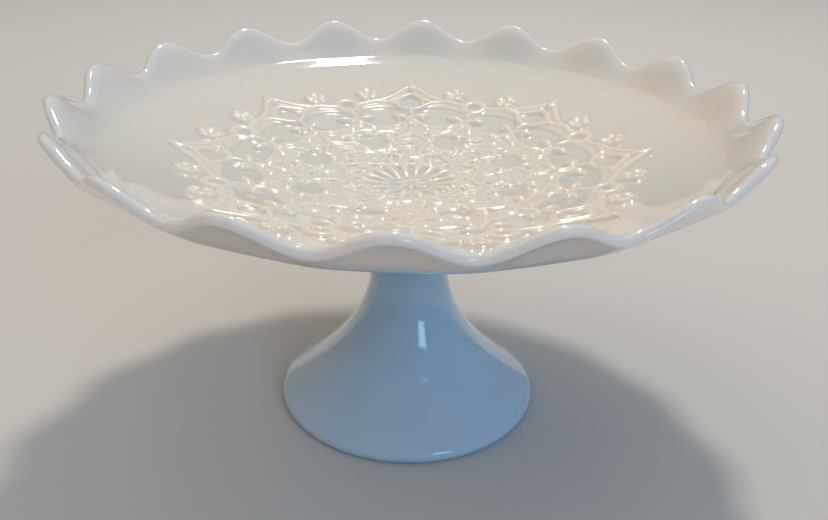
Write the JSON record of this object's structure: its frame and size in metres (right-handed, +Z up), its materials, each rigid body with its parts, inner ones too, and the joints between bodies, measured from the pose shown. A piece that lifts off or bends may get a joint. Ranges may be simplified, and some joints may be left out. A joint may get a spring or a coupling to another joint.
{
  "type": "cake stand",
  "caption": "Footed cake stand with a shallow scalloped plate, a raised lace medallion on its floor and a hollow bell-shaped foot, in opal glass.",
  "frame": {"origin": "centre of the foot's resting ring, on the surface that the stand rests on", "axes": "+Z up along the stand's axis; +Y through the tip of one rim lobe"},
  "size_m": [0.2798, 0.2838, 0.144],
  "materials": {
    "opal_plate": "fire-polished opal glass, warm white",
    "opal_wafer": "fire-polished opal glass, white",
    "opal_foot": "fire-polished opal glass, cool white"
  },
  "bodies": {
    "root": {"plate": "opal_plate", "wafer": "opal_wafer", "foot": "opal_foot"}
  },
  "joints": []
}
